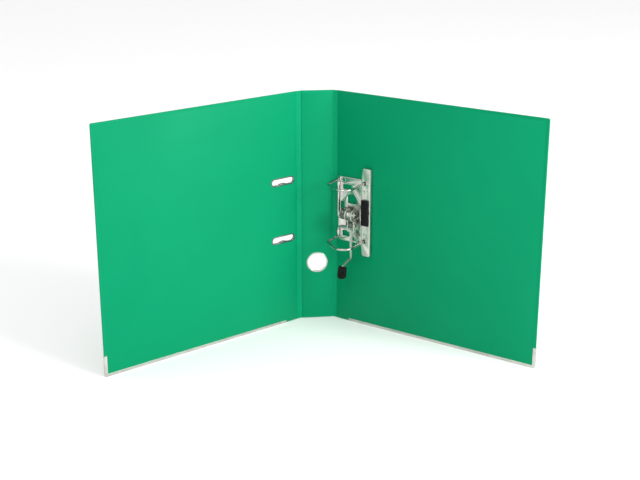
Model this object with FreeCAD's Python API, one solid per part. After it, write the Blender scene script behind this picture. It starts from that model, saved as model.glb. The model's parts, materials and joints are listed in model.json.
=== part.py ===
"""Lever arch file for A4 paper, narrow spine, standing open on its metal edges.

Frame: +Z up, the table is at Z = 0. The origin is below the middle of the spine's
thickness and width. The inside of the file faces -Y.
A cover is drawn flat: u runs from its crease to its outer edge, w stands off its inner
face and z is the height. It is then turned to the angle at which it stands open.
"""
import FreeCAD, Part
import math
import os

os.makedirs("parts", exist_ok=True)
V = FreeCAD.Vector
UP = V(0, 0, 1)

# --- boards and film (mm, degrees) ---
board_height = 318.0
cover_width = 285.0
spine_width = 41.0
gutter_width = 8.0
panel_t = 2.4
film_t = 0.25
gutter_film_t = 0.5
crease_gap = 0.3
corner_r = 2.0
front_open = 30.0        # angle of the front cover from flat, folded inwards
back_open = 38.0         # angle of the back cover from flat
gutter_share = 2 / 3     # part of a cover's turn that its gutter makes

# --- metal edges ---
edge_t = 0.35
edge_leg = 3.5
edge_start = 18.5
edge_rise = 27.0

# --- finger hole and label on the spine ---
finger_height = 81.0
finger_r = 12.5
ring_t = 0.4
ring_flange = 1.3
label_height = 170.0
label_width = 34.0
label_foot = 125.0
label_t = 0.3
pocket_t = 0.25
pocket_seam = 1.5

# --- slots of the front cover ---
hole_spacing = 80.0      # of the punched paper
mech_height = 161.0      # middle of the two paper holes above the table
slot_mid = 22.0
slot_length = 33.6
slot_height = 8.0
slot_end_r = 3.8
bump_width = 13.0
bump_rise = 1.6
eyelet_t = 0.4
eyelet_gap = 0.02
eyelet_flange = 1.0

# --- base plate ---
plate_left = 2.5
plate_right = 39.5
plate_foot_right = 50.5
plate_top = 2.0
plate_t = 0.9
plate_low = -45.5
plate_high = 43.5
foot_low = -45.0
foot_high = 45.0
cup_r = 4.6
rivet_r = 2.6
rivet_hole_r = 2.1
rivet_flange = 1.0
rivet_t = 0.45
rivet_places = [(10.0, 38.9), (31.5, 30.0), (31.5, -30.0), (24.5, -40.6)]
rib_width = 2.2
rib_rise = 0.5

# --- arch wire and posts ---
wire_d = 3.0
wire_lift = 0.3          # clear space between the crank and the plate
axis_u = 3.5
run_gap = 0.05           # radial running clearance of every pin
post_u = 43.0
post_r = 1.7
post_top = 32.3
seat_gap = 0.3
crown_height = 47.0
crown_r = 14.0
corner_height = 31.5
corner_bend = 5.0
wire_bend = 3.0
crank_u = 27.5
crank_high = -14.5
crank_low = -23.5
crank_high_root = -12.5
crank_low_root = -27.0
eye_wall = 0.95
eye_span = (30.5, 36.5)

# --- lever ---
pivot_z = -3.3
pin_r = 1.5
lever_cheek_t = 1.5
cheek_left = 22.5
cheek_right = 31.5
hub_r = 8.0
hub_tube_r = 3.2
roller_r = 4.0
roller_below = 15.4      # from pivot to roller along the closed lever
roller_in = 4.27         # from pivot to roller towards the board
roller_pin_r = 1.2
roller_seat = 0.1
cheek_lobe_r = 2.4
cheek_neck_r = 3.8
ear_t = 1.5
ear_gap = 0.5
ear_r = 4.0
ear_half_width = 5.0
bar_u = 28.0
bar_width = 3.0
bar_r = 1.1
bar_w = 12.0
bar_end = -64.0
grip_w = 32.9
grip_z = -68.6
tip_length = 17.0
tip_width = 11.0
tip_t = 5.0
tip_lean = 3.6
tang_length = 12.0
spring_wire_r = 0.65
spring_r = 6.6
spring_turns = 4
spring_pitch = 1.5
spring_leg = 7.5

# --- compressor bar and its lock ---
bar_left = 39.3
bar_right = 52.3
bar_half_length = 60.0
bar_top = 5.6
bar_t = 1.0
bar_left_skirt = 3.2
bar_right_skirt = 1.3
bar_taper = 2.0
bar_taper_length = 14.0
post_hole_left = 40.9
post_hole_right = 46.4
post_hole_half = 2.5
tab_hole_right = 49.6
pierce_z = 30.5
pierce_size = 2.6
lock_half_length = 17.5
lock_left = 39.9
lock_right = 50.4
lock_rise = 2.6
lock_travel = 3.0
lock_stud_r = 1.5
lock_stud_places = [(45.5, -9.0), (45.5, 6.0)]
strip_t = 0.8
strip_gap = 0.3
strip_left = 41.4
strip_right = 50.6
strip_half_length = 46.0

# --- what follows from the sizes above ---
half_t = panel_t / 2
panel_foot = edge_t
panel_head = panel_foot + board_height
half_spine = spine_width / 2
wire_r = wire_d / 2
axis_w = plate_top + wire_lift + wire_r
pivot_w = axis_w + wire_r + roller_seat + roller_r + roller_in
roller_w = pivot_w - roller_in
roller_z = pivot_z - roller_below


def box(x0, x1, y0, y1, z0, z1):
    """A block between two corners."""
    return Part.makeBox(x1 - x0, y1 - y0, z1 - z0, V(x0, y0, z0))


def spot(u, w, z=0.0):
    """A point of the mechanism, with z counted from the middle of the paper holes."""
    return V(u, -half_t - w, mech_height + z)


def block(u0, u1, w0, w1, z0, z1):
    """A block of the mechanism."""
    return box(u0, u1, -half_t - w1, -half_t - w0, mech_height + z0, mech_height + z1)


def rod(start, end, radius):
    """A round bar between two points."""
    along = end - start
    return Part.makeCylinder(radius, along.Length, start, along)


def pin_along_u(u0, u1, w, z, radius):
    """A round bar parallel to the lever's pivot."""
    return rod(spot(u0, w, z), spot(u1, w, z), radius)


def pin_along_w(u, z, w0, w1, radius):
    """A round bar that stands square on the cover."""
    return rod(spot(u, w0, z), spot(u, w1, z), radius)


def cone_along_w(u, z, w0, w1, r0, r1):
    """A cone that stands square on the cover."""
    return Part.makeCone(r0, r1, w1 - w0, spot(u, w0, z), V(0, -1, 0))


def prism_uz(points, w0, w1):
    """An outline in u and z, as thick as from w0 to w1."""
    loop = [spot(u, w0, z) for u, z in points]
    face = Part.Face(Part.makePolygon(loop + [loop[0]]))
    return face.extrude(V(0, w0 - w1, 0))


def rounded_slot(u0, u1, z0, z1, w0, w1, radius):
    """A rounded rectangle in u and z, used for openings and flanges."""
    solid = block(u0, u1, w0, w1, z0, z1)
    edges = [e for e in solid.Edges if abs(e.tangentAt(e.FirstParameter).y) > 0.99]
    return solid.makeFillet(radius, edges)


def link(start, r0, end, r1, u0, u1):
    """A plate in w and z: two discs, joined by their outer tangents."""
    a, b = spot(0, *start), spot(0, *end)
    reach = math.hypot(b.y - a.y, b.z - a.z)
    turn = math.atan2(b.z - a.z, b.y - a.y)
    lean = math.acos((r0 - r1) / reach)
    corners = []
    for centre, radius, side in ((a, r0, 1), (a, r0, -1), (b, r1, -1), (b, r1, 1)):
        angle = turn + side * lean
        corners.append(V(u0, centre.y + radius * math.cos(angle), centre.z + radius * math.sin(angle)))
    web = Part.Face(Part.makePolygon(corners + [corners[0]])).extrude(V(u1 - u0, 0, 0))
    discs = [pin_along_u(u0, u1, *start, r0), pin_along_u(u0, u1, *end, r1)]
    return web.fuse(discs).removeSplitter()


def bent_path(points, bends):
    """Straight runs through the points, with an arc of the given radius at each inner one."""
    edges, here = [], points[0]
    for before, at, after, radius in zip(points, points[1:], points[2:], bends):
        back = (before - at).normalize()
        ahead = (after - at).normalize()
        half = back.getAngle(ahead) / 2
        reach = radius / math.tan(half)
        begin, end = at + back * reach, at + ahead * reach
        middle = (back + ahead).normalize()
        crest = at + middle * (radius / math.sin(half) - radius)
        if (begin - here).Length > 1e-6:
            edges.append(Part.LineSegment(here, begin).toShape())
        edges.append(Part.Arc(begin, crest, end).toShape())
        here = end
    edges.append(Part.LineSegment(here, points[-1]).toShape())
    return Part.Wire(edges)


def swept_round(path, radius):
    """Round wire along a path."""
    first = path.OrderedEdges[0]
    start = first.valueAt(first.FirstParameter)
    ring = Part.Wire(Part.makeCircle(radius, start, first.tangentAt(first.FirstParameter)))
    return path.makePipeShell([ring], True, False)


def on_front(shape):
    """Turns a cover drawn flat to the left of the spine, where the front cover stands."""
    shape = shape.mirror(V(0, 0, 0), V(1, 0, 0))
    shape.rotate(V(0, 0, 0), UP, front_open)
    gutter = math.radians(gutter_share * front_open)
    shape.translate(V(-half_spine - gutter_width * math.cos(gutter), -gutter_width * math.sin(gutter), 0))
    return shape


def on_back(shape):
    """Turns a cover drawn flat to the right of the spine, where the back cover stands."""
    shape = shape.copy()
    shape.rotate(V(0, 0, 0), UP, -back_open)
    gutter = math.radians(gutter_share * back_open)
    shape.translate(V(half_spine + gutter_width * math.cos(gutter), -gutter_width * math.sin(gutter), 0))
    return shape


def slab_with_corners(x0, x1, y0, y1, z0, z1, radius):
    """A panel whose two far corners are rounded."""
    solid = box(x0, x1, y0, y1, z0, z1)
    edges = [
        e
        for e in solid.Edges
        if abs(e.tangentAt(e.FirstParameter).y) > 0.99 and abs(e.CenterOfMass.x - x1) < 1e-6
    ]
    return solid.makeFillet(radius, edges)


def panel(x0, x1, radius, holes):
    """Board, lining and covering of one panel, cut by the same holes."""
    z0, z1 = panel_foot, panel_head
    inner = (x0 + film_t, x1 - film_t, z0 + film_t, z1 - film_t)
    if radius:
        outer = slab_with_corners(x0, x1, -half_t, half_t, z0, z1, radius)
        core = slab_with_corners(inner[0], inner[1], -half_t, half_t - film_t, *inner[2:], radius - film_t)
    else:
        outer = box(x0, x1, -half_t, half_t, z0, z1)
        core = box(inner[0], inner[1], -half_t, half_t - film_t, *inner[2:])
    front_layer = box(x0, x1, -half_t, -half_t + film_t, z0, z1)
    covering = outer.cut(core)
    lining = core.common(front_layer)
    board = core.cut(front_layer)
    for hole in holes:
        covering = covering.cut(hole)
        lining = lining.cut(hole)
        board = board.cut(hole)
    return board, lining, covering


def slot_opening(z, grow, w0, w1):
    """The opening of a front slot, grown on all sides, with the bump that catches the arch."""
    half = slot_length / 2 + grow
    opening = rounded_slot(
        slot_mid - half, slot_mid + half,
        z - slot_height / 2 - grow, z + slot_height / 2 + grow,
        w0, w1, slot_end_r + grow,
    )
    bump_r = (bump_width**2 / 4 + bump_rise**2) / (2 * bump_rise)
    below = z - slot_height / 2 + bump_rise - bump_r
    return opening.cut(pin_along_w(slot_mid, below, w0, w1, bump_r - grow))


def eyelet(z):
    """A pressed metal eyelet: a lining of the slot with a flange on each face."""
    w_in, w_out = eyelet_t, -panel_t - eyelet_t
    body = slot_opening(z, eyelet_t, w_out, w_in)
    reach = eyelet_t + eyelet_flange
    for w0, w1 in ((w_out, -panel_t), (0.0, w_in)):
        body = body.fuse(
            rounded_slot(
                slot_mid - slot_length / 2 - reach, slot_mid + slot_length / 2 + reach,
                z - slot_height / 2 - reach, z + slot_height / 2 + reach,
                w0, w1, slot_end_r + reach,
            )
        )
    return body.cut(slot_opening(z, 0.0, w_out - 1, w_in + 1)).removeSplitter()


def edge_metal():
    """A folded metal edge along a cover's foot and up its outer edge."""
    far = cover_width + edge_t
    skin = half_t + edge_t
    blank = slab_with_corners(edge_start, far, -skin, skin, 0, board_height, corner_r + edge_t)
    foot = box(edge_start, far, -skin, skin, 0, panel_foot + edge_leg)
    rise = box(cover_width - edge_leg, far, -skin, skin, 0, panel_foot + edge_rise)
    whole = blank.common(foot.fuse(rise).removeSplitter())
    cover = slab_with_corners(0, cover_width, -half_t, half_t, panel_foot, panel_head, corner_r)
    return whole.cut(cover)


def finger_ring():
    """A turned eyelet in the finger hole."""
    skin = half_t + ring_t
    outside = finger_r + ring_t + ring_flange
    tube = Part.makeCylinder(finger_r + ring_t, 2 * skin, V(0, -skin, finger_height), V(0, 1, 0))
    inner = Part.makeCylinder(outside, ring_t, V(0, -skin, finger_height), V(0, 1, 0))
    outer = Part.makeCylinder(outside, ring_t, V(0, half_t, finger_height), V(0, 1, 0))
    bore = Part.makeCylinder(finger_r, 2 * skin + 2, V(0, -skin - 1, finger_height), V(0, 1, 0))
    return tube.fuse([inner, outer]).cut(bore).removeSplitter()


def label():
    """The blank label card and the clear pocket that holds it on the spine's outer face."""
    half = label_width / 2
    z0, z1 = label_foot, label_foot + label_height
    card = box(-half, half, half_t, half_t + label_t, z0, z1)
    skin = half_t + label_t + pocket_t
    wide = half + pocket_seam
    pocket = box(-wide, wide, half_t, skin, z0 - pocket_seam, z1)
    pocket = pocket.cut(box(-half, half, half_t, half_t + label_t, z0, z1 + 1))
    return card, pocket


def base_plate():
    """A pressed steel tray with rolled eyes for the wire and two ears for the lever."""
    t = plate_t
    tray = rounded_slot(plate_left, plate_right, plate_low, plate_high, 0, plate_top, 3.0)
    hollow = rounded_slot(plate_left + t, plate_right - t, plate_low + t, plate_high - t, -1, plate_top - t, 2.2)
    foot = rounded_slot(plate_right - 3, plate_foot_right, foot_low, foot_high, 0, t, 2.0)
    plate = tray.cut(hollow).fuse(foot.cut(block(0, plate_right - t, -1, t + 1, foot_low - 1, foot_high + 1)))
    windows = [
        rounded_slot(9.5, 22.0, 26.8, 33.4, -1, plate_top + 1, 1.5),
        rounded_slot(6.2, 11.5, -9.8, 9.5, -1, plate_top + 1, 1.2),
        rounded_slot(9.0, 19.0, -38.5, -30.5, -1, plate_top + 1, 1.5),
        rounded_slot(17.0, 30.5, 8.0, 20.0, -1, plate_top + 1, 2.0),
        rounded_slot(14.5, 21.5, -24.5, -17.5, -1, plate_top + 1, 1.2),
    ]
    for window in windows:
        plate = plate.cut(window)
    for (u0, z0), (u1, z1) in (((25.0, 25.0), (36.5, 8.5)), ((28.0, -34.0), (37.0, -42.0))):
        rib = pin_along_w(u0, z0, 0, rib_rise, rib_width / 2)
        rib = rib.fuse([pin_along_w(u1, z1, 0, rib_rise, rib_width / 2), ridge(u0, z0, u1, z1)])
        rib.translate(V(0, -plate_top + 0.01, 0))
        plate = plate.fuse(rib)
    for u, z in rivet_places:
        plate = plate.cut(pin_along_w(u, z, -1, plate_top + 1, cup_r - t))
        cup = pin_along_w(u, z, 0, plate_top, cup_r).cut(pin_along_w(u, z, t, plate_top + 1, cup_r - t))
        plate = plate.fuse(cup).cut(pin_along_w(u, z, -1, t + 1, rivet_r))
    wire_hole = wire_r + run_gap
    for side in (-1, 1):
        z0, z1 = sorted(side * z for z in eye_span)
        eye = rod(spot(axis_u, axis_w, z0), spot(axis_u, axis_w, z1), wire_hole + eye_wall)
        root = block(axis_u - 1.0, axis_u + 2.0, plate_top - t, axis_w, z0, z1)
        plate = plate.fuse([eye, root])
        plate = plate.cut(rod(spot(axis_u, axis_w, z0 - 1), spot(axis_u, axis_w, z1 + 1), wire_hole))
        plate = plate.cut(pin_along_w(post_u, side * hole_spacing / 2, -1, t + 1, post_r - 0.5))
    for u0 in ear_starts():
        plate = plate.fuse(ear(u0))
    return plate.removeSplitter()


def ridge(u0, z0, u1, z1):
    """The straight part of a pressed rib."""
    run = math.hypot(u1 - u0, z1 - z0)
    du = -(z1 - z0) / run * rib_width / 2
    dz = (u1 - u0) / run * rib_width / 2
    return prism_uz([(u0 + du, z0 + dz), (u1 + du, z1 + dz), (u1 - du, z1 - dz), (u0 - du, z0 - dz)], 0, rib_rise)


def ear_starts():
    """Where the two ears begin: outside the spring on the left, outside the fork on the right."""
    spring_room = spring_pitch * spring_turns + 2 * spring_wire_r + 2 * ear_gap
    left = cheek_left - spring_room - ear_t
    return left, cheek_right + lever_cheek_t + ear_gap


def ear(u0):
    """One upright ear of the base plate, with the hole that holds the pivot pin."""
    u1 = u0 + ear_t
    top = link((pivot_w, pivot_z), ear_r, (plate_top + 1, pivot_z), ear_half_width, u0, u1)
    root = block(u0, u1, plate_top - plate_t, plate_top + 1, pivot_z - ear_half_width, pivot_z + ear_half_width)
    body = top.common(block(u0, u1, plate_top, pivot_w + 20, -30, 30)).fuse(root)
    return body.cut(pin_along_u(u0 - 1, u1 + 1, pivot_w, pivot_z, pin_r))


def rivets():
    """Four hollow rivets through the base plate and the back cover."""
    solids = []
    for u, z in rivet_places:
        low, high = -panel_t - rivet_t, plate_t + rivet_t
        shank = pin_along_w(u, z, low, high, rivet_r)
        heads = [
            pin_along_w(u, z, plate_t, high, rivet_r + rivet_flange),
            pin_along_w(u, z, low, -panel_t, rivet_r + rivet_flange),
        ]
        solids.append(shank.fuse(heads).cut(pin_along_w(u, z, low - 1, high + 1, rivet_hole_r)).removeSplitter())
    return Part.makeCompound(solids)


def post(z):
    """A fixed post: rivet shank, collar, stem and the cup that seats the arch's end."""
    shank = pin_along_w(post_u, z, 0, plate_t, post_r - 0.5)
    collar = pin_along_w(post_u, z, plate_t, plate_t + 0.6, post_r + 1.2)
    stem = pin_along_w(post_u, z, plate_t, post_top, post_r)
    depth = wire_r - 0.3
    seat = cone_along_w(post_u, z, post_top - depth, post_top + 0.01, 0.3, wire_r + 0.01)
    return shank.fuse([collar, stem]).cut(seat).removeSplitter()


def arch_wire():
    """One wire: two arches and, between them, the crank under the lever's roller."""
    centre_w = crown_height - crown_r
    rise = centre_w - corner_height
    run = post_u - crown_r - axis_u
    slope = math.atan2(rise, run) + math.asin(crown_r / math.hypot(run, rise))
    peak_w = corner_height + (post_u - axis_u) * math.tan(slope)
    half = hole_spacing / 2
    end_w = post_top + 0.3
    points = [
        spot(post_u, end_w, half), spot(post_u, peak_w, half), spot(axis_u, corner_height, half),
        spot(axis_u, axis_w, half), spot(axis_u, axis_w, crank_high_root),
        spot(crank_u, axis_w, crank_high), spot(crank_u, axis_w, crank_low),
        spot(axis_u, axis_w, crank_low_root), spot(axis_u, axis_w, -half),
        spot(axis_u, corner_height, -half), spot(post_u, peak_w, -half), spot(post_u, end_w, -half),
    ]
    bends = [crown_r, corner_bend, wire_bend, wire_bend, wire_bend, wire_bend, wire_bend, wire_bend,
             corner_bend, crown_r]
    wire = swept_round(bent_path(points, bends), wire_r)
    for side in (-1, 1):
        low = end_w - (wire_r - 0.3)
        wire = wire.fuse(cone_along_w(post_u, side * half, low, end_w, 0.3, wire_r))
    return wire


def lever_arm():
    """A forked steel lever: two cheeks on the pivot, a narrow bar and an outward crank."""
    pivot, roller = (pivot_w, pivot_z), (roller_w, roller_z)
    neck, root = (bar_w, roller_z), (bar_w, roller_z - 8.0)
    body = pin_along_u(cheek_left, cheek_right + lever_cheek_t, *pivot, hub_tube_r)
    for u0 in (cheek_left, cheek_right):
        u1 = u0 + lever_cheek_t
        body = body.fuse([
            pin_along_u(u0, u1, *pivot, hub_r),
            link(pivot, cheek_neck_r, roller, cheek_lobe_r, u0, u1),
            link(neck, 1.9, root, bar_r, u0, u1),
        ])
    body = body.fuse(link((bar_w, root[1] + 1.2), bar_r, root, bar_r, cheek_left, cheek_right + lever_cheek_t))
    u0, u1 = bar_u - bar_width / 2, bar_u + bar_width / 2
    stops = [root, (bar_w, bar_end), (grip_w, grip_z), tang_end()]
    for start, end in zip(stops, stops[1:]):
        body = body.fuse(link(start, bar_r, end, bar_r, u0, u1))
    body = body.cut(pin_along_u(cheek_left - 1, cheek_right + 5, *pivot, pin_r + run_gap))
    body = body.cut(pin_along_u(cheek_left - 1, cheek_right + 5, *roller, roller_pin_r))
    return body.removeSplitter()


def grip_direction():
    """Which way the plastic tip points, in w and z."""
    return tip_lean / tip_length, -math.sqrt(1 - (tip_lean / tip_length) ** 2)


def tang_end():
    """The end of the steel inside the plastic tip."""
    dw, dz = grip_direction()
    return grip_w + dw * tang_length, grip_z + dz * tang_length


def lever_tip():
    """The moulded plastic thumb piece on the lever's end."""
    dw, dz = grip_direction()
    half = tip_t / 2
    start = (grip_w + dw * half, grip_z + dz * half)
    end = (grip_w + dw * (tip_length - half), grip_z + dz * (tip_length - half))
    body = link(start, half, end, half, bar_u - tip_width / 2, bar_u + tip_width / 2)
    ends = [e for e in body.Edges if abs(e.tangentAt(e.FirstParameter).x) < 0.01 and e.Length > 1]
    body = body.makeFillet(1.6, ends)
    for first, last in (((bar_w, bar_end), (grip_w, grip_z)), ((grip_w, grip_z), tang_end())):
        body = body.cut(link(first, bar_r, last, bar_r, bar_u - bar_width / 2, bar_u + bar_width / 2))
    return body


def lever_pin():
    """The pivot pin, riveted over outside both ears."""
    left, right = ear_starts()[0], ear_starts()[1] + ear_t
    pin = pin_along_u(left - 1.0, right + 1.0, pivot_w, pivot_z, pin_r)
    heads = [
        pin_along_u(left - 1.0, left, pivot_w, pivot_z, pin_r + 1.3),
        pin_along_u(right, right + 1.0, pivot_w, pivot_z, pin_r + 1.3),
    ]
    return pin.fuse(heads).removeSplitter()


def roller_pin():
    """The pin that carries the roller in the fork."""
    left, right = cheek_left, cheek_right + lever_cheek_t
    pin = pin_along_u(left - 0.6, right + 0.6, roller_w, roller_z, roller_pin_r)
    heads = [
        pin_along_u(left - 0.6, left, roller_w, roller_z, roller_pin_r + 0.8),
        pin_along_u(right, right + 0.6, roller_w, roller_z, roller_pin_r + 0.8),
    ]
    return pin.fuse(heads).removeSplitter()


def roller():
    """The roller that presses the crank down."""
    left, right = cheek_left + lever_cheek_t + 0.3, cheek_right - 0.3
    body = pin_along_u(left, right, roller_w, roller_z, roller_r)
    rims = [e for e in body.Edges if e.Closed]
    body = body.makeChamfer(0.5, rims)
    return body.cut(pin_along_u(left - 1, right + 1, roller_w, roller_z, roller_pin_r + run_gap))


def arch_spring():
    """A torsion spring round the pivot pin that lifts the crank when the lever is raised."""
    left = ear_starts()[0] + ear_t + ear_gap + spring_wire_r
    coil = []
    for i in range(8 * spring_turns + 1):
        turn = 2 * math.pi * i / 8
        u = left + spring_pitch * i / 8
        coil.append(spot(u, pivot_w - spring_r * math.cos(turn), pivot_z + spring_r * math.sin(turn)))
    arcs = [Part.Arc(*coil[i : i + 3]).toShape() for i in range(0, len(coil) - 2, 2)]
    first, last = arcs[0], arcs[-1]
    entry = first.tangentAt(first.FirstParameter)
    leave = last.tangentAt(last.LastParameter)
    crank_leg = Part.LineSegment(coil[0] - entry * spring_leg, coil[0]).toShape()
    fixed_leg = Part.LineSegment(coil[-1], coil[-1] + leave * spring_leg).toShape()
    return swept_round(Part.Wire([crank_leg] + arcs + [fixed_leg]), spring_wire_r)


def compressor_bar():
    """The channel that holds the paper down, with holes for the posts and the lock."""
    def outline(inset):
        left, right = bar_left + inset, bar_right - inset
        end = bar_half_length - inset
        shoulder = end - bar_taper_length
        return [
            (left + bar_taper, end), (right, end), (right, -end), (left + bar_taper, -end),
            (left, -shoulder), (left, shoulder),
        ]
    body = prism_uz(outline(0), bar_right_skirt, bar_top)
    upright = [e for e in body.Edges if abs(e.tangentAt(e.FirstParameter).y) > 0.99]
    ends = [e for e in upright if abs(abs(e.CenterOfMass.z - mech_height) - bar_half_length) < 0.01]
    body = body.makeFillet(2.0, ends)
    body = body.cut(prism_uz(outline(bar_t), bar_right_skirt - 1, bar_top - bar_t))
    body = body.cut(block(bar_left - 1, bar_right - bar_t, 0, bar_left_skirt, -bar_half_length - 1, bar_half_length + 1))
    half = hole_spacing / 2
    for side in (-1, 1):
        z = side * half
        body = body.cut(rounded_slot(post_hole_left, post_hole_right, z - post_hole_half, z + post_hole_half, 3, 7, 2.0))
        body = body.cut(block(post_hole_right - 1, tab_hole_right, 3, 7, z - 1.2, z + 1.2))
        for u in (43.2, 47.6):
            reach = pierce_size / 2
            peak = side * pierce_z + side * reach
            flat = side * pierce_z - side * reach
            body = body.cut(prism_uz([(u - reach, flat), (u + reach, flat), (u, peak)], 3, 7))
    for u, z in lock_stud_places:
        room = lock_stud_r + 0.3
        body = body.cut(rounded_slot(u - room, u + room, z - room, z + room + lock_travel, 3, 7, room - 0.05))
    return body.removeSplitter()


def lock_button():
    """The black slide on the bar, with two studs that pass through it."""
    w0 = bar_top + 0.3
    body = rounded_slot(lock_left, lock_right, -lock_half_length, lock_half_length, w0, w0 + lock_rise, 1.2)
    rim = [e for e in body.Edges if abs(e.CenterOfMass.y + half_t + w0 + lock_rise) < 1e-6]
    body = body.makeChamfer(0.5, rim)
    for z in range(-12, 13, 3):
        body = body.cut(pin_along_z_row(z))
    low = bar_top - bar_t - strip_gap
    studs = [pin_along_w(u, z, low, w0 + 0.5, lock_stud_r) for u, z in lock_stud_places]
    return body.fuse(studs).removeSplitter()


def pin_along_z_row(z):
    """One groove across the slide, for the finger."""
    top = bar_top + 0.3 + lock_rise
    return rod(spot(lock_left + 1.5, top + 0.4, z), spot(lock_right - 1.5, top + 0.4, z), 0.8)


def lock_strip():
    """The thin strip under the bar that grips the posts when the slide is home."""
    top = bar_top - bar_t - strip_gap
    body = rounded_slot(strip_left, strip_right, -strip_half_length, strip_half_length, top - strip_t, top, 1.5)
    low_room = post_r + 0.3
    for side in (-1, 1):
        z = side * hole_spacing / 2
        body = body.cut(
            rounded_slot(post_u - post_r - 0.3, post_u + post_r + 0.5, z - low_room - lock_travel, z + low_room,
                         top - 2, top + 1, 1.5)
        )
    return body.removeSplitter()


slots = [slot_opening(side * hole_spacing / 2, eyelet_t + eyelet_gap, -panel_t - 1, 1) for side in (-1, 1)]
shanks = [pin_along_w(u, z, -panel_t - 1, 1, rivet_r) for u, z in rivet_places]
ring_seat = Part.makeCylinder(finger_r + ring_t, 2 * panel_t, V(0, -panel_t, finger_height), V(0, 1, 0))

nodes = {}
half_flat = half_spine - crease_gap
nodes["spine_board"], nodes["spine_lining"], nodes["spine_covering"] = panel(-half_flat, half_flat, 0, [ring_seat])
nodes["finger_ring"] = finger_ring()
nodes["spine_label_card"], nodes["spine_label_pocket"] = label()

front = panel(crease_gap, cover_width, corner_r, slots)
for name, piece in zip(("front_board", "front_lining", "front_covering"), front):
    nodes[name] = on_front(piece)
nodes["slot_eyelet_upper"] = on_front(eyelet(hole_spacing / 2))
nodes["slot_eyelet_lower"] = on_front(eyelet(-hole_spacing / 2))
nodes["front_edge_metal"] = on_front(edge_metal())

back = panel(crease_gap, cover_width, corner_r, shanks)
for name, piece in zip(("back_board", "back_lining", "back_covering"), back):
    nodes[name] = on_back(piece)
nodes["back_edge_metal"] = on_back(edge_metal())

film_half = gutter_film_t / 2
film = box(crease_gap, gutter_width - crease_gap, -film_half, film_half, panel_foot, panel_head)
front_film = film.mirror(V(0, 0, 0), V(1, 0, 0))
front_film.rotate(V(0, 0, 0), UP, gutter_share * front_open)
front_film.translate(V(-half_spine, 0, 0))
nodes["front_gutter_film"] = front_film
back_film = film.copy()
back_film.rotate(V(0, 0, 0), UP, -gutter_share * back_open)
back_film.translate(V(half_spine, 0, 0))
nodes["back_gutter_film"] = back_film

mechanism = {
    "base_plate": base_plate(),
    "plate_rivets": rivets(),
    "post_upper": post(hole_spacing / 2),
    "post_lower": post(-hole_spacing / 2),
    "arch_wire": arch_wire(),
    "lever_arm": lever_arm(),
    "lever_tip": lever_tip(),
    "lever_pin": lever_pin(),
    "roller_pin": roller_pin(),
    "roller": roller(),
    "arch_spring": arch_spring(),
    "compressor_bar": compressor_bar(),
    "lock_button": lock_button(),
    "lock_strip": lock_strip(),
}
for name, piece in mechanism.items():
    nodes[name] = on_back(piece)

for name, shape in nodes.items():
    print(name, "solids", len(shape.Solids), "valid", shape.isValid(), "mm3", round(shape.Volume, 1))
    shape.exportStep(f"parts/{name}.step")
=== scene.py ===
# %% [markdown]
# # A lever arch file, standing open
#
# The file is three stiff boards wrapped in green film. Two strips of film without board,
# the gutters, let it fold. A steel mechanism is riveted to the back cover.
# The shapes that matter for fit come from the CAD frame. In this lesson we give them the
# soft edges, rolled rims, mouldings and finishes that the real pieces get in the factory.

# %% Load the frame
import json
import math

import bpy
from mathutils import Matrix, Vector


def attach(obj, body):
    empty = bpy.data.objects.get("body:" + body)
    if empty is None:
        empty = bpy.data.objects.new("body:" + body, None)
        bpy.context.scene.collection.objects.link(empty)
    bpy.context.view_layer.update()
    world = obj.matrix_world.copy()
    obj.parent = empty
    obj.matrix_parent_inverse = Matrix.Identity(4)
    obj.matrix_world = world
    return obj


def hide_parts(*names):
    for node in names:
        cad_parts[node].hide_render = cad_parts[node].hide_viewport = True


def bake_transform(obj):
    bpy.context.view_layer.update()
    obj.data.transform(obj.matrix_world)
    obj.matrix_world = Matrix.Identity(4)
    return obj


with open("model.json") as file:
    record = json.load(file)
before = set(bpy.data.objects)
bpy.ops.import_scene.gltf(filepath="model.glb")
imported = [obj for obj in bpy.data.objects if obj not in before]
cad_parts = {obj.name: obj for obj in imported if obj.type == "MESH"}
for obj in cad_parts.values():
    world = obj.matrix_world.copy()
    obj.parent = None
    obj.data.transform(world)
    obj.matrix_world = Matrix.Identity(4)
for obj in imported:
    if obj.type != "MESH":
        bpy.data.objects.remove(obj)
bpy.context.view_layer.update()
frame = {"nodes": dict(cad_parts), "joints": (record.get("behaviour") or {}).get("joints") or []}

MM = 0.001

# %% [markdown]
# ## Where the flat covers go
#
# A cover is easiest to model lying flat: u runs from its crease to its outer edge, w stands
# off its inner face, and z is the height. The two folds of each side then turn and move it
# into place. We read where the folds stand from the joints. Only the two opening angles are
# typed here, the same as in CAD.

# %% Fold lines
joints = {joint["name"]: joint for joint in frame["joints"]}


def fold_line(name):
    """Where a fold stands, in metres, on the table's plane."""
    x, y = joints[name]["pos_m"][:2]
    return Vector((x, y, 0.0))


FRONT_OPEN = math.radians(30.0)
BACK_OPEN = math.radians(38.0)
GUTTER_SHARE = 2 / 3
front_place = (
    Matrix.Translation(fold_line("front_cover_fold"))
    @ Matrix.Rotation(FRONT_OPEN, 4, "Z")
    @ Matrix.Scale(-1, 4, (1, 0, 0))
)
back_place = Matrix.Translation(fold_line("back_cover_fold")) @ Matrix.Rotation(-BACK_OPEN, 4, "Z")
spine_place = Matrix.Identity(4)
print("back cover's crease at", tuple(round(v, 4) for v in fold_line("back_cover_fold")))

# %% Sizes of the boards and the mechanism, in millimetres
PANEL = 2.4
FOOT = 0.35
HEIGHT = 318.0
COVER = 285.0
SPINE = 41.0
GUTTER = 8.0
CREASE = 0.3
MECH = 161.0
SAME = 1e-6  # metres: two places closer than this count as one


def spot(u, w, z):
    """A point of the mechanism on the flat cover, in metres."""
    return Vector((u * MM, -(PANEL / 2 + w) * MM, (MECH + z) * MM))


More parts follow.
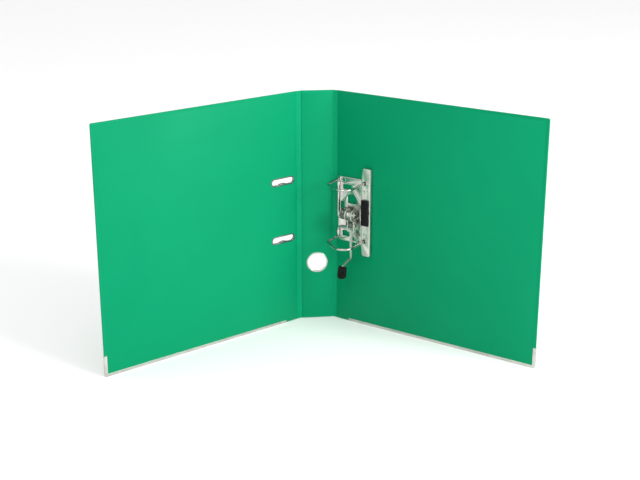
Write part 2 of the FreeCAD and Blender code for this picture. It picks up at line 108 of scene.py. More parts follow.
# %% [markdown]
# ## Small tools for modelling
#
# Every operator works on what is selected, so each step starts from nothing selected.
# Faces are picked by where they are or by which way they point.

# %% Select, edit and shape
def alone(obj):
    """Only this object is selected and active."""
    for other in bpy.context.selected_objects:
        other.select_set(False)
    obj.select_set(True)
    bpy.context.view_layer.objects.active = obj


def in_edit(obj, *steps):
    """Runs the steps in edit mode and comes back to object mode."""
    alone(obj)
    bpy.ops.object.mode_set(mode="EDIT")
    for step in steps:
        step()
    bpy.ops.object.mode_set(mode="OBJECT")


def pick(obj, faces=None, edges=None):
    """Selects the faces or the edges for which the test is true, and nothing else."""
    mesh = obj.data
    for group in (mesh.vertices, mesh.edges, mesh.polygons):
        group.foreach_set("select", [False] * len(group))
    if faces:
        for face in mesh.polygons:
            face.select = bool(faces(face))
        for face in mesh.polygons:
            if face.select:
                for key in face.edge_keys:
                    mesh.edges[edge_index(mesh, key)].select = True
                for corner in face.vertices:
                    mesh.vertices[corner].select = True
    if edges:
        for edge in mesh.edges:
            a, b = (mesh.vertices[i].co for i in edge.vertices)
            edge.select = bool(edges(a, b))
        for edge in mesh.edges:
            if edge.select:
                for corner in edge.vertices:
                    mesh.vertices[corner].select = True


def edge_index(mesh, key):
    """The number of the edge between two corners."""
    table = edge_index.tables.get(mesh.name)
    if table is None or len(table) != len(mesh.edges):
        table = {e.key: e.index for e in mesh.edges}
        edge_index.tables[mesh.name] = table
    return table[key]


edge_index.tables = {}


def select_mode(kind):
    """Edit mode works on corners, edges or faces."""
    bpy.context.tool_settings.mesh_select_mode = tuple(k == kind for k in ("VERT", "EDGE", "FACE"))


def block(name, low, high):
    """A box between two corners, with its place already in its mesh."""
    centre = (Vector(low) + Vector(high)) / 2
    size = Vector(high) - Vector(low)
    bpy.ops.mesh.primitive_cube_add(size=1, location=centre)
    obj = bpy.context.active_object
    obj.name = obj.data.name = name
    obj.scale = size
    bpy.ops.object.transform_apply(location=True, rotation=True, scale=True)
    return obj


def with_modifier(obj, kind, **values):
    """Adds a modifier, sets it and applies it."""
    alone(obj)
    modifier = obj.modifiers.new(kind.lower(), kind)
    for key, value in values.items():
        setattr(modifier, key, value)
    bpy.ops.object.modifier_apply(modifier=modifier.name)
    return obj


def rounded(obj, width, segments=3, angle=30.0):
    """Rounds every edge sharper than the angle; width in millimetres."""
    return with_modifier(
        obj, "BEVEL", width=width * MM, segments=segments,
        limit_method="ANGLE", angle_limit=math.radians(angle),
    )


def outward():
    """Turns every face of the open mesh to point outwards."""
    bpy.ops.mesh.select_all(action="SELECT")
    bpy.ops.mesh.normals_make_consistent(inside=False)


# %% [markdown]
# ## Finishing a piece
#
# A finished piece sits at the origin, unturned, with its place in its mesh. It then gets its
# material, the body that it moves with and the CAD solids that it stands for.

# %% Settle a piece
def settle(obj, place, body, material, stands_for=(), smooth=35.0):
    """Puts a flat-modelled piece in place and ties it to its body."""
    mirrored = place.determinant() < 0
    obj.data.transform(place)
    if mirrored:
        in_edit(obj, outward)
    alone(obj)
    bpy.ops.object.shade_smooth_by_angle(angle=math.radians(smooth))
    dress(obj, material)
    if body:
        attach(obj, body)
    if stands_for:
        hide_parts(*stands_for)
    print(obj.name, len(obj.data.polygons), "faces")


def dress(obj, material):
    """Gives an object one material."""
    obj.data.materials.clear()
    obj.data.materials.append(material)


# %% [markdown]
# ## Shared surface effects
#
# Film, steel and mouldings all have a fine grain and patches where hands have polished or
# dulled them. Each effect is a node group that gives out masks and heights, and each
# material places it with its own values.

# %% Node helpers
def effect(name, inputs, outputs):
    """A new node group with float sockets, and its two end nodes."""
    tree = bpy.data.node_groups.new(name, "ShaderNodeTree")
    for label, value in inputs:
        socket = tree.interface.new_socket(name=label, in_out="INPUT", socket_type="NodeSocketFloat")
        socket.default_value = value
    for label in outputs:
        tree.interface.new_socket(name=label, in_out="OUTPUT", socket_type="NodeSocketFloat")
    start = tree.nodes.new("NodeGroupInput")
    end = tree.nodes.new("NodeGroupOutput")
    return tree, start, end


def node(tree, kind, **values):
    """Adds a node; keys name its settings, or its inputs where a setting has no such name."""
    made = tree.nodes.new(kind)
    for key, value in values.items():
        if hasattr(made, key):
            setattr(made, key, value)
        else:
            made.inputs[key.replace("_", " ")].default_value = value
    return made


# %% Fine grain
grain_tree, grain_in, grain_out = effect(
    "fine_grain", [("Scale", 900.0), ("Stretch", 1.0)], ["Height", "Tone"]
)
where = node(grain_tree, "ShaderNodeTexCoord")
stretch = node(grain_tree, "ShaderNodeCombineXYZ", X=1.0, Y=1.0)
across = node(grain_tree, "ShaderNodeVectorMath", operation="MULTIPLY")
pebbles = node(grain_tree, "ShaderNodeTexVoronoi", feature="SMOOTH_F1")
fibres = node(grain_tree, "ShaderNodeTexNoise", Detail=4.0, Roughness=0.6)
blend_heights = node(grain_tree, "ShaderNodeMath", operation="ADD")
links = grain_tree.links
links.new(grain_in.outputs["Stretch"], stretch.inputs["Z"])
links.new(where.outputs["Object"], across.inputs[0])
links.new(stretch.outputs["Vector"], across.inputs[1])
for texture in (pebbles, fibres):
    links.new(across.outputs["Vector"], texture.inputs["Vector"])
    links.new(grain_in.outputs["Scale"], texture.inputs["Scale"])
links.new(pebbles.outputs["Distance"], blend_heights.inputs[0])
links.new(fibres.outputs["Fac"], blend_heights.inputs[1])
links.new(blend_heights.outputs["Value"], grain_out.inputs["Height"])
links.new(fibres.outputs["Fac"], grain_out.inputs["Tone"])

# %% Handling marks
marks_tree, marks_in, marks_out = effect("handling_marks", [("Scale", 14.0)], ["Mask"])
where = node(marks_tree, "ShaderNodeTexCoord")
clouds = node(marks_tree, "ShaderNodeTexNoise", Detail=5.0, Roughness=0.55, Distortion=0.4)
limits = node(marks_tree, "ShaderNodeMapRange", From_Min=0.38, From_Max=0.66)
marks_tree.links.new(where.outputs["Object"], clouds.inputs["Vector"])
marks_tree.links.new(marks_in.outputs["Scale"], clouds.inputs["Scale"])
marks_tree.links.new(clouds.outputs["Fac"], limits.inputs["Value"])
marks_tree.links.new(limits.outputs["Result"], marks_out.inputs["Mask"])

# %% Worn edges
wear_tree, wear_in, wear_out = effect("worn_edges", [("Scale", 160.0), ("Amount", 1.0)], ["Mask"])
shape = node(wear_tree, "ShaderNodeNewGeometry")
ridge = node(wear_tree, "ShaderNodeMapRange", From_Min=0.53, From_Max=0.62)
where = node(wear_tree, "ShaderNodeTexCoord")
chips = node(wear_tree, "ShaderNodeTexNoise", Detail=3.0)
broken = node(wear_tree, "ShaderNodeMath", operation="MULTIPLY")
dosed = node(wear_tree, "ShaderNodeMath", operation="MULTIPLY")
links = wear_tree.links
links.new(shape.outputs["Pointiness"], ridge.inputs["Value"])
links.new(where.outputs["Object"], chips.inputs["Vector"])
links.new(wear_in.outputs["Scale"], chips.inputs["Scale"])
links.new(ridge.outputs["Result"], broken.inputs[0])
links.new(chips.outputs["Fac"], broken.inputs[1])
links.new(broken.outputs["Value"], dosed.inputs[0])
links.new(wear_in.outputs["Amount"], dosed.inputs[1])
links.new(dosed.outputs["Value"], wear_out.inputs["Mask"])
print("effects:", [tree.name for tree in (grain_tree, marks_tree, wear_tree)])


# %% [markdown]
# ## One recipe for the finishes
#
# Each finish has two close tones, a range of roughness and a grain height. The recipe wires
# the shared effects to one Principled BSDF, so that the finishes differ only in their values.

# %% The recipe
def placed(tree, group, **values):
    """Places a shared effect in a material with its own values."""
    made = node(tree, "ShaderNodeGroup", node_tree=group)
    for key, value in values.items():
        made.inputs[key].default_value = value
    return made


def finish(name, light, dark, rough, grain, bump, marks=14.0, worn=None, wear=0.0, metal=0.0,
           stretch=1.0, specular=0.5):
    """A material from two tones, a roughness range, a grain scale and a bump height in millimetres."""
    material = bpy.data.materials.new(name)
    material.use_nodes = True
    tree = material.node_tree
    tree.nodes.clear()
    out = node(tree, "ShaderNodeOutputMaterial")
    shader = node(tree, "ShaderNodeBsdfPrincipled", Metallic=metal)
    shader.inputs["Specular IOR Level"].default_value = specular
    fine = placed(tree, grain_tree, Scale=grain, Stretch=stretch)
    patches = placed(tree, marks_tree, Scale=marks)
    edges = placed(tree, wear_tree, Amount=wear)
    tones = node(tree, "ShaderNodeMix", data_type="RGBA")
    tones.inputs["A"].default_value = (*light, 1)
    tones.inputs["B"].default_value = (*dark, 1)
    rubbed = node(tree, "ShaderNodeMix", data_type="RGBA")
    rubbed.inputs["B"].default_value = (*(worn or light), 1)
    soft = node(tree, "ShaderNodeMath", operation="MULTIPLY_ADD")
    soft.inputs[1].default_value = 0.25
    roughness = node(tree, "ShaderNodeMapRange", To_Min=rough[0], To_Max=rough[1])
    height = node(tree, "ShaderNodeBump", Distance=bump * MM, Strength=1.0)
    join = tree.links.new
    join(fine.outputs["Tone"], soft.inputs[0])
    join(patches.outputs["Mask"], soft.inputs[2])
    join(soft.outputs["Value"], tones.inputs["Factor"])
    join(tones.outputs["Result"], rubbed.inputs["A"])
    join(edges.outputs["Mask"], rubbed.inputs["Factor"])
    join(rubbed.outputs["Result"], shader.inputs["Base Color"])
    join(patches.outputs["Mask"], roughness.inputs["Value"])
    join(roughness.outputs["Result"], shader.inputs["Roughness"])
    join(fine.outputs["Height"], height.inputs["Height"])
    join(height.outputs["Normal"], shader.inputs["Normal"])
    join(shader.outputs["BSDF"], out.inputs["Surface"])
    return material


# %% The finishes
green_film = finish("green film", (0.0, 0.238, 0.103), (0.0, 0.222, 0.095), (0.42, 0.52), 2600.0, 0.02,
                    marks=9.0, worn=(0.0, 0.31, 0.15), wear=0.5, specular=0.07)
green_lining = finish("green lining", (0.0, 0.238, 0.103), (0.0, 0.226, 0.098), (0.45, 0.55), 3200.0, 0.016,
                      marks=7.0, specular=0.07)
nickel_sheet = finish("nickel sheet", (0.58, 0.58, 0.54), (0.47, 0.47, 0.44), (0.22, 0.34), 420.0, 0.006,
                      marks=60.0, worn=(0.75, 0.75, 0.72), wear=0.5, metal=1.0, stretch=0.12)
satin_nickel = finish("satin nickel", (0.68, 0.68, 0.63), (0.58, 0.58, 0.54), (0.34, 0.46), 700.0, 0.006,
                      marks=60.0, worn=(0.82, 0.82, 0.78), wear=0.5, metal=1.0, stretch=0.12)
nickel_wire = finish("nickel wire", (0.52, 0.52, 0.50), (0.42, 0.42, 0.40), (0.12, 0.20), 900.0, 0.003,
                     marks=80.0, worn=(0.7, 0.7, 0.7), wear=0.3, metal=1.0)
# Nickel painted dark: painted shade on the slot eyelets' rims and on the roller in the lever's hub.
shade_darkened_nickel = finish("nickel darkened for painted shade", (0.20, 0.21, 0.20), (0.14, 0.15, 0.14), (0.20, 0.30), 900.0, 0.003,
                       marks=80.0, worn=(0.35, 0.35, 0.35), wear=0.3, metal=1.0)
# Spring steel with its tones painted dark: painted shade in the lever's hub, where the spring sits.
spring_steel_shade_darkened = finish("spring steel darkened for painted shade", (0.24, 0.23, 0.22), (0.16, 0.16, 0.15), (0.22, 0.35), 1400.0, 0.004,
                      marks=90.0, metal=1.0)
black_moulding = finish("black moulding", (0.004, 0.004, 0.0045), (0.003, 0.003, 0.003), (0.36, 0.48),
                        2400.0, 0.015, marks=70.0, worn=(0.015, 0.015, 0.015), wear=0.7, specular=0.16)
grey_board = finish("grey board", (0.30, 0.29, 0.27), (0.22, 0.21, 0.20), (0.8, 0.9), 1300.0, 0.04)
white_card = finish("white card", (0.88, 0.87, 0.84), (0.82, 0.81, 0.78), (0.6, 0.75), 1700.0, 0.012)
print("finishes:", len(bpy.data.materials))

# %% [markdown]
# ## Clear pocket film
#
# The label sits under clear film. The film is too thin to bend light much, so a low Alpha
# makes it nearly transparent. A faint ripple and some haze keep its surface visible.

# %% Clear film
clear_film = bpy.data.materials.new("clear film")
clear_film.use_nodes = True
pane = clear_film.node_tree.nodes["Principled BSDF"]
pane.inputs["Base Color"].default_value = (0.93, 0.96, 0.95, 1)
pane.inputs["Alpha"].default_value = 0.08
pane.inputs["IOR"].default_value = 1.49
ripple = placed(clear_film.node_tree, grain_tree, Scale=120.0)
ripple_bump = node(clear_film.node_tree, "ShaderNodeBump", Distance=0.02 * MM)
haze = placed(clear_film.node_tree, marks_tree, Scale=30.0)
haze_range = node(clear_film.node_tree, "ShaderNodeMapRange", To_Min=0.06, To_Max=0.16)
clear_film.node_tree.links.new(ripple.outputs["Height"], ripple_bump.inputs["Height"])
clear_film.node_tree.links.new(ripple_bump.outputs["Normal"], pane.inputs["Normal"])
clear_film.node_tree.links.new(haze.outputs["Mask"], haze_range.inputs["Value"])
clear_film.node_tree.links.new(haze_range.outputs["Result"], pane.inputs["Roughness"])

# %% [markdown]
# ## Finishes on the CAD solids
#
# Pins, posts, the arch wire and the spring are right as turned and bent in CAD. They only
# need their finish. Every solid gets one here, also those that a new piece will hide later.

# %% Dress the CAD solids
NODE_FINISH = {
    "arch_wire": nickel_wire, "post_upper": nickel_wire, "post_lower": nickel_wire, "lever_pin": nickel_wire,
    # The roller wears nickel painted dark: painted shade in the lever's hub.
    # The spring's steel is painted dark as well: painted shade in the hub.
    "roller_pin": nickel_wire, "roller": shade_darkened_nickel, "arch_spring": spring_steel_shade_darkened,
    "lock_button": black_moulding, "lever_tip": black_moulding,
    "spine_label_card": white_card, "spine_label_pocket": clear_film,
}
for name, obj in frame["nodes"].items():
    if name in NODE_FINISH:
        dress(obj, NODE_FINISH[name])
    elif name.endswith("board"):
        dress(obj, grey_board)
    elif name.endswith(("lining", "covering", "film")):
        dress(obj, green_film)
    else:
        dress(obj, nickel_sheet)

# %% [markdown]
# ## The wrapped boards
#
# The film is drawn round the board's edges and glued down, so no edge is sharp. We start
# from a box, round its two free corners, then round its rim. A cutter with a round end
# opens the slots, and a round one opens the finger hole.

# %% A wrapped board
RIM = 0.6
CORNER = 2.0


def wrapped_board(name, left, right, free_corners):
    """A board in its film, lying flat; free_corners says that its right end has round corners."""
    low = Vector((left, -PANEL / 2, FOOT)) * MM
    high = Vector((right, PANEL / 2, FOOT + HEIGHT)) * MM
    board = block(name, low, high)
    select_mode("EDGE")
    if free_corners:
        pick(
            board,
            edges=lambda a, b: abs(a.x - high.x) < SAME
            and abs(b.x - high.x) < SAME
            and abs(a.z - b.z) < SAME,
        )
        in_edit(board, lambda: bpy.ops.mesh.bevel(offset=CORNER * MM, segments=5, affect="EDGES"))
    return rounded(board, RIM)


def cut(obj, cutter):
    """Cuts a shape out of a piece and throws the cutter away."""
    with_modifier(obj, "BOOLEAN", object=cutter, operation="DIFFERENCE", solver="EXACT")
    bpy.data.objects.remove(cutter)
    return obj


# %% A slot cutter
SLOT_U = 22.0
SLOT_LONG = 34.5
SLOT_HIGH = 8.9
SLOT_ROUND = 4.2
CUT_REACH = 5


def slot_cutter(z):
    """A long cutter with round ends, through the front cover."""
    middle = MECH + z
    low = Vector((SLOT_U - SLOT_LONG / 2, -CUT_REACH, middle - SLOT_HIGH / 2)) * MM
    high = Vector((SLOT_U + SLOT_LONG / 2, CUT_REACH, middle + SLOT_HIGH / 2)) * MM
    cutter = block("slot_cutter", low, high)
    select_mode("EDGE")
    pick(cutter, edges=lambda a, b: abs(a.x - b.x) < SAME and abs(a.z - b.z) < SAME)
    in_edit(cutter, lambda: bpy.ops.mesh.bevel(offset=SLOT_ROUND * MM, segments=8, affect="EDGES"))
    return cutter


def hole_cutter(radius, z):
    """A round cutter along the thickness of the spine."""
    bpy.ops.mesh.primitive_cylinder_add(
        vertices=64, radius=radius * MM, depth=2 * CUT_REACH * MM,
        location=(0, 0, z * MM), rotation=(math.pi / 2, 0, 0),
    )
    cutter = bpy.context.active_object
    bpy.ops.object.transform_apply(location=True, rotation=True, scale=True)
    return cutter


# %% Make the three wrapped boards
FINGER_Z = 81.0
RING_R = 12.5
RING_WALL = 0.45
SLOT_Z = 40.0
front_wrap = wrapped_board("front_cover_wrapped", CREASE, COVER, True)
for side in (-1, 1):
    cut(front_wrap, slot_cutter(side * SLOT_Z))
settle(front_wrap, front_place, "front_cover", green_film, ("front_board", "front_covering"))

back_wrap = wrapped_board("back_cover_wrapped", CREASE, COVER, True)
settle(back_wrap, back_place, "back_cover", green_film, ("back_board", "back_covering"))

spine_half = SPINE / 2 - CREASE
spine_wrap = wrapped_board("spine_wrapped", -spine_half, spine_half, False)
cut(spine_wrap, hole_cutter(RING_R + RING_WALL, FINGER_Z))
settle(spine_wrap, spine_place, "spine", green_film, ("spine_board", "spine_covering"))

# %% [markdown]
# ## The linings
#
# A thinner sheet lines the inside. It stops a little short of the edges, and its cut edge
# makes a fine line round the cover. The sheet is a thin block, let into the board so that
# only its edge stands up as a step.

# %% A lining sheet
LINING = 0.12
MARGIN = 3.0
LET_IN = 0.3
SHEET_START = 1.2
SHEET_END = COVER - MARGIN - 1.0


def lining_sheet(name, left, right):
    """A thin sheet on the inner face, short of every edge."""
    low = Vector((left, -PANEL / 2 - LINING, FOOT + MARGIN)) * MM
    high = Vector((right, -PANEL / 2 + LET_IN, FOOT + HEIGHT - MARGIN)) * MM
    sheet = block(name, low, high)
    return rounded(sheet, 0.1, segments=2)


front_sheet = lining_sheet("front_lining_sheet", SHEET_START, SHEET_END)
for side in (-1, 1):
    cut(front_sheet, slot_cutter(side * SLOT_Z))
settle(front_sheet, front_place, "front_cover", green_lining, ("front_lining",))
back_sheet = lining_sheet("back_lining_sheet", SHEET_START, SHEET_END)
settle(back_sheet, back_place, "back_cover", green_lining, ("back_lining",))
spine_sheet = lining_sheet("spine_lining_sheet", -SPINE / 2 + 1.4, SPINE / 2 - 1.4)
cut(spine_sheet, hole_cutter(RING_R + RING_WALL, FINGER_Z))
settle(spine_sheet, spine_place, "spine", green_lining, ("spine_lining",))

# %% [markdown]
# ## The gutters
#
# Between spine and cover, the outer film and the lining are welded together without board.
# A press leaves a crease on each side. The real strip bends; here each half of it is a piece
# of its own, tied to no body. The outline is drawn once as a thin block,
# bisected and pinched, then copied for each of the four creases.

# %% A crease strip
STRIP_HALF = 0.95  # half the strip's thickness where it meets the board
CREASE_CUTS = (-0.5, -0.2, 0.1, 0.4, 0.8, 1.2, 1.8, 2.6)
# Up to each distance from the crease, half the strip's thickness.
CREASE_PROFILE = (
    (-0.4, 1.0), (-0.1, 0.85), (0.2, 0.55), (0.5, 0.36),
    (0.9, 0.26), (1.4, 0.25), (2.0, 0.3), (9.0, 0.34),
)


def crease_strip(name):
    """Half a gutter: thick where it meets the board, thin from the crease to the middle."""
    low = Vector((-CREASE - RIM, -STRIP_HALF, FOOT)) * MM
    high = Vector((GUTTER / 2 + 0.05, STRIP_HALF, FOOT + HEIGHT)) * MM
    strip = block(name, low, high)
    for step in CREASE_CUTS:
        in_edit(
            strip,
            lambda: bpy.ops.mesh.select_all(action="SELECT"),
            lambda: bpy.ops.mesh.bisect(plane_co=(step * MM, 0, 0), plane_no=(1, 0, 0)),
        )
    for corner in strip.data.vertices:
        reach = corner.co.x / MM
        half = next(value for limit, value in CREASE_PROFILE if reach < limit)
        corner.co.y = math.copysign(half * MM, corner.co.y)
    return strip


def crease_piece(name, outline, place, stands_for=()):
    """Places a copy of the strip; it is tied to no body."""
    piece = bpy.data.objects.new(name, outline.data.copy())
    bpy.context.scene.collection.objects.link(piece)
    settle(piece, place, None, green_film, stands_for, smooth=60.0)
    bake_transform(piece)


# %% Place the four strips
strip_outline = crease_strip("crease_outline")
first_turn = {"front": GUTTER_SHARE * FRONT_OPEN, "back": -GUTTER_SHARE * BACK_OPEN}
for side, sign in (("front", -1), ("back", 1)):
    at_spine = fold_line(side + "_gutter_fold")
    at_cover = fold_line(side + "_cover_fold")
    flip = Matrix.Scale(sign, 4, (1, 0, 0))
    turned = Matrix.Rotation(first_turn[side], 4, "Z")
    near = Matrix.Translation(at_spine) @ turned @ flip
    far = Matrix.Translation(at_cover) @ turned @ flip @ Matrix.Scale(-1, 4, (1, 0, 0))
    gutter, cover = side + "_gutter", side + "_cover"
    crease_piece(
        side + "_spine_crease", strip_outline, near,
        (gutter + "_film",),
    )
    crease_piece(
        side + "_cover_crease", strip_outline, far,
    )
bpy.data.objects.remove(strip_outline)

# %% [markdown]
# ## The finger ring
#
# A turned ring lines the finger hole. Its rims are rolled outwards over the film. A round
# shape like this is one small outline, spun once round the hole's axis.

# %% Spin an outline
def spun(name, outline, centre, steps):
    """Spins a closed outline of (radius, along) points round an axis along Y; millimetres."""
    bpy.ops.mesh.primitive_circle_add(vertices=len(outline), radius=1, location=(0, 0, 0))
    ring = bpy.context.active_object
    ring.name = ring.data.name = name
    bpy.ops.object.transform_apply(location=True, rotation=True, scale=True)
    for corner, (radius, along) in zip(ring.data.vertices, outline):
        corner.co = Vector((radius, along, 0)) * MM

    def spin():
        bpy.ops.mesh.select_all(action="SELECT")
        bpy.ops.mesh.spin(steps=steps, angle=2 * math.pi, center=(0, 0, 0), axis=(0, 1, 0))
        bpy.ops.mesh.select_all(action="SELECT")
        bpy.ops.mesh.remove_doubles(threshold=SAME)

    in_edit(ring, spin, outward)
    ring.data.transform(Matrix.Translation(centre))
    return ring


half_outline = [(0.0, 1.1), (0.1, 1.4), (0.4, 1.6), (0.9, 1.63), (1.4, 1.55), (1.7, 1.34), (0.42, 1.3)]
rolled = [(RING_R + out, -along) for out, along in half_outline]
rolled += [(RING_R + out, along) for out, along in reversed(half_outline)]
finger_ring = spun("finger_ring_rolled", rolled, Vector((0, 0, FINGER_Z * MM)), steps=96)
settle(finger_ring, spine_place, "spine", nickel_sheet, ("finger_ring",), smooth=50.0)

# %% [markdown]
# ## Rivets
#
# Four hollow rivets hold the base plate. The mandrel rolls their ends into round collars, so
# they are spun as well, one for each hole.

# %% The rivets
RIVETS = ((10.0, 38.9), (31.5, 30.0), (31.5, -30.0), (24.5, -40.6))
rolled_ends = [
    (2.1, 2.3), (2.1, -1.0), (2.4, -1.4), (2.9, -1.5), (3.4, -1.3), (3.6, -0.92), (2.6, -0.9),
    (2.6, 2.4), (3.6, 2.42), (3.4, 2.75), (2.9, 2.9), (2.4, 2.8),
]
for number, (u, z) in enumerate(RIVETS):
    outline = [(radius, along - PANEL / 2) for radius, along in rolled_ends]
    rivet = spun(f"rivet_{number}", outline, Vector((u, 0, MECH + z)) * MM, steps=40)
    stands_for = ("plate_rivets",) if number == 0 else ()
    settle(rivet, back_place, "back_cover", nickel_wire, stands_for, smooth=50.0)

# %% [markdown]
# ## Pressed and folded steel
#
# Sheet steel has a small radius on every folded or sheared edge, and that radius is what
# catches the light. We take a copy of each solid, weld its loose triangles into clean flat
# faces, and bevel its edges.

# %% Soften a copy of a solid
def softened(name, source, width, body, material, angle=35.0):
    """A copy of a CAD solid with small round edges."""
    piece = bpy.data.objects.new(name, frame["nodes"][source].data.copy())
    bpy.context.scene.collection.objects.link(piece)

    def weld():
        bpy.ops.mesh.select_all(action="SELECT")
        bpy.ops.mesh.remove_doubles(threshold=2e-6)
        bpy.ops.mesh.dissolve_limited(angle_limit=math.radians(0.5))

    in_edit(piece, weld)
    rounded(piece, width, segments=2, angle=angle)
    settle(piece, Matrix.Identity(4), body, material, (source,), smooth=40.0)


softened("base_plate_pressed", "base_plate", 0.18, "back_cover", nickel_sheet)
softened("compressor_bar_pressed", "compressor_bar", 0.25, "compressor", satin_nickel)
softened("lever_arm_forged", "lever_arm", 0.22, "lever", satin_nickel)
softened("front_edge_folded", "front_edge_metal", 0.12, "front_cover", nickel_sheet)
softened("back_edge_folded", "back_edge_metal", 0.12, "back_cover", nickel_sheet)
# The eyelets wear nickel painted dark: painted shade on their rims.
softened("upper_eyelet_pressed", "slot_eyelet_upper", 0.15, "front_cover", shade_darkened_nickel)
softened("lower_eyelet_pressed", "slot_eyelet_lower", 0.15, "front_cover", shade_darkened_nickel)

# %% [markdown]
# ## The thumb piece
#
# The lever ends in a moulded piece, so that it doesn't cut the thumb. It is a rounded block,
# narrower where it meets the steel, with a shallow dish in its front face.

# %% Mould the thumb piece
TIP_OUT = 3.6  # how far the tip leans outwards
TIP_DOWN = 16.6  # over this length of it
TIP = {"width": 11.0, "thick": 5.0, "long": 17.0, "corner": 4.6, "lean": math.atan2(TIP_OUT, TIP_DOWN)}
TIP_NECK = (0.9, 0.86)  # its width and thickness where it meets the steel, as shares
GRIP = (28.0, 32.9, -68.6)


def mould_thumb_piece():
    """The thumb piece, modelled upright and then leant outwards."""
    half = Vector((TIP["width"] / 2, TIP["thick"] / 2, TIP["long"])) * MM
    body = block("lever_thumb_piece", (-half.x, -half.y, -half.z), (half.x, half.y, 0))
    for step in (0.25, 0.75):
        in_edit(
            body,
            lambda: bpy.ops.mesh.select_all(action="SELECT"),
            lambda: bpy.ops.mesh.bisect(plane_co=(0, 0, -step * half.z), plane_no=(0, 0, 1)),
        )
    for corner in body.data.vertices:
        if corner.co.z > -SAME:
            corner.co.x *= TIP_NECK[0]
            corner.co.y *= TIP_NECK[1]
    select_mode("EDGE")
    pick(body, edges=lambda a, b: a.z + half.z < SAME and b.z + half.z < SAME and abs(a.x - b.x) < SAME)
    in_edit(body, lambda: bpy.ops.mesh.bevel(offset=TIP["corner"] * MM, segments=6, affect="EDGES"))
    select_mode("FACE")
    pick(body, faces=lambda face: face.normal.y < -0.9 and -0.8 * half.z < face.center.z < -0.2 * half.z)

    def dish():
        bpy.ops.mesh.inset(thickness=2.0 * MM, depth=0)
        bpy.ops.mesh.inset(thickness=1.0 * MM, depth=-0.5 * MM)

    in_edit(body, dish)
    rounded(body, 1.0, segments=3, angle=40.0)
    with_modifier(body, "SUBSURF", levels=1, render_levels=1)
    body.data.transform(Matrix.Rotation(-TIP["lean"], 4, "X"))
    body.data.transform(Matrix.Translation(spot(*GRIP)))
    return body


settle(mould_thumb_piece(), back_place, "lever", black_moulding, ("lever_tip",), smooth=60.0)

# %% [markdown]
# ## The slide that locks the bar
#
# A black slide sits on the bar. Cross ribs give the finger a hold. The ribs are strips of its
# top face: the block is bisected into strips, and every other one is raised.

# %% Mould the slide
SLIDE = {"left": 39.9, "right": 50.4, "low": -17.5, "high": 17.5, "base": 5.9, "top": 8.0}
RIB_FIRST = -13.5
RIB_PITCH = 1.5
RIB_CUTS = 19
NUB_HALF = 2.0


def mould_slide():
    """The ribbed slide, with a nub at its outer side."""
    low = spot(SLIDE["left"], SLIDE["top"], SLIDE["low"])
    high = spot(SLIDE["right"], SLIDE["base"], SLIDE["high"])
    body = block("lock_slide_moulded", low, high)
    cuts = [RIB_FIRST + RIB_PITCH * i for i in range(RIB_CUTS)]
    for z in cuts:
        in_edit(
            body,
            lambda: bpy.ops.mesh.select_all(action="SELECT"),
            lambda: bpy.ops.mesh.bisect(plane_co=spot(0, 0, z), plane_no=(0, 0, 1)),
        )
    select_mode("FACE")
    ribs = [spot(0, 0, z + RIB_PITCH / 2).z for z in cuts[:-1:2]]
    top = low.y
    pick(body, faces=lambda f: f.normal.y < -0.9 and abs(f.center.y - top) < SAME
         and any(abs(f.center.z - z) < 0.4 * MM for z in ribs))

    def raise_ribs():
        bpy.ops.mesh.inset(thickness=0.35 * MM, depth=0, use_individual=True)
        bpy.ops.mesh.extrude_region_shrink_fatten(TRANSFORM_OT_shrink_fatten={"value": 0.5 * MM})

    in_edit(body, raise_ribs)
    side = high.x
    pick(body, faces=lambda f: f.normal.x > 0.9 and abs(f.center.x - side) < SAME
         and abs(f.center.z - spot(0, 0, 0).z) < NUB_HALF * MM)

    def raise_nub():
        bpy.ops.mesh.inset(thickness=0.4 * MM, depth=0)
        bpy.ops.mesh.extrude_region_shrink_fatten(TRANSFORM_OT_shrink_fatten={"value": 0.8 * MM})

    in_edit(body, raise_nub)
    return rounded(body, 0.3, segments=2, angle=40.0)


settle(mould_slide(), back_place, "lock", black_moulding, ("lock_button",), smooth=45.0)

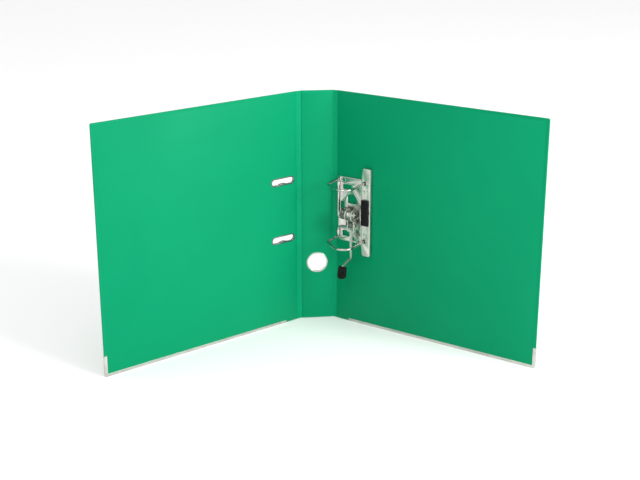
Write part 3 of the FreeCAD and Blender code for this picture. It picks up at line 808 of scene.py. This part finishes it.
# %% [markdown]
# ## Floor, light and camera
#
# A pale floor runs far back. A broad light from the right front makes the front cover the
# brighter one, and a smaller one from the upper left draws the lever's soft shadow on the
# back cover. The sky is plain and bright, so that the steel has something light to reflect.

# %% Floor
bpy.ops.mesh.primitive_plane_add(size=60, location=(0, 2.0, 0))
floor = bpy.context.active_object
floor.name = "floor"
floor_material = bpy.data.materials.new("pale floor")
floor_material.use_nodes = True
floor_shader = floor_material.node_tree.nodes["Principled BSDF"]
floor_shader.inputs["Base Color"].default_value = (0.9, 0.9, 0.9, 1)
floor_shader.inputs["Roughness"].default_value = 0.7
dress(floor, floor_material)


# %% Lights
def panel_light(name, place, aim, size, power):
    """A square soft light that points at a place."""
    data = bpy.data.lights.new(name, "AREA")
    data.size = size
    data.energy = power
    lamp = bpy.data.objects.new(name, data)
    bpy.context.scene.collection.objects.link(lamp)
    lamp.location = place
    lamp.rotation_euler = (Vector(aim) - Vector(place)).to_track_quat("-Z", "Y").to_euler()


panel_light("broad light", (1.6, -1.3, 1.1), (-0.1, 0, 0.15), 1.0, 52)
panel_light("shadow light", (-0.55, -1.5, 1.3), (0.05, 0, 0.15), 0.25, 7)
sky = bpy.data.worlds.new("plain sky")
bpy.context.scene.world = sky
sky.use_nodes = True
sky.node_tree.nodes["Background"].inputs["Color"].default_value = (1, 1, 1, 1)
sky.node_tree.nodes["Background"].inputs["Strength"].default_value = 1.0
bpy.context.scene.view_settings.view_transform = "Standard"

# %% Camera
TILT_DOWN = 16.31  # degrees
TURN_RIGHT = 6.14
camera_data = bpy.data.cameras.new("camera")
camera_data.lens = 60.44
camera_data.sensor_width = 36.0
camera_data.shift_y = -0.125
camera_data.clip_end = 50
camera = bpy.data.objects.new("camera", camera_data)
bpy.context.scene.collection.objects.link(camera)
camera.location = (-0.1411, -1.3481, 0.6211)
camera.rotation_euler = (math.radians(90 - TILT_DOWN), 0.0, math.radians(-TURN_RIGHT))
bpy.context.scene.camera = camera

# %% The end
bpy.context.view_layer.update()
